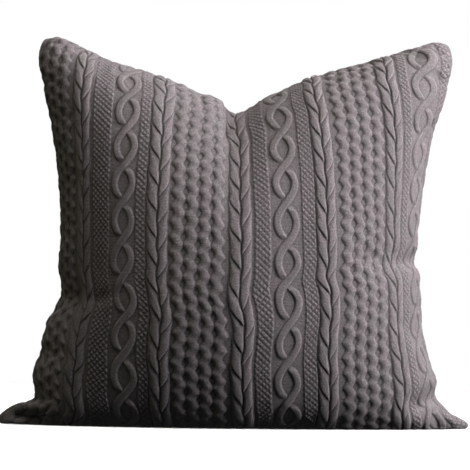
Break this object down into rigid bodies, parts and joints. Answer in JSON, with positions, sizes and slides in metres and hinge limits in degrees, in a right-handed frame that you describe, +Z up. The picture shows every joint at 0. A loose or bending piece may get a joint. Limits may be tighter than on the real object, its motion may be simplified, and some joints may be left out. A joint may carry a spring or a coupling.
{
  "type": "throw pillow",
  "caption": "Square cable-knit throw pillow, plump, creased at the top and standing on its bottom edge, with a zipper in the bottom seam of its cover.",
  "frame": {"origin": "on the surface that the pillow stands on, under the middle of its box", "axes": "+X along the bottom seam to the right of the front, +Y towards the back, +Z up"},
  "size_m": [0.442, 0.19, 0.3683],
  "materials": {
    "knit_cover": "matte heathered cable knit",
    "insert_casing": "plain woven cotton",
    "polyester_fiber": "loose white fibre",
    "zipper_tape": "woven tape",
    "zipper_coil": "satin moulded coil",
    "zipper_metal": "satin enamel"
  },
  "bodies": {
    "pillow": {"front_panel": "knit_cover", "back_panel": "knit_cover", "insert_front_panel": "insert_casing", "insert_back_panel": "insert_casing", "fiber_filling": "polyester_fiber", "zipper_tape_front": "zipper_tape", "zipper_tape_back": "zipper_tape", "zipper_coil_front": "zipper_coil", "zipper_coil_back": "zipper_coil", "zipper_bottom_stop": "zipper_metal", "zipper_top_stop_front": "zipper_metal", "zipper_top_stop_back": "zipper_metal"},
    "slider": {"zipper_slider": "zipper_metal"},
    "pull_tab": {"zipper_pull_tab": "zipper_metal"}
  },
  "joints": [
    {"name": "zipper_slide", "type": "slide", "parent": "pillow", "child": "slider", "axis": [-1, 0, 0], "range_m": [0, 0.3]},
    {"name": "pull_tab_hinge", "type": "hinge", "parent": "slider", "child": "pull_tab", "pos_m": [0.155, 0, 0.0046], "axis": [0, -1, 0], "range_deg": [0, 180]}
  ]
}
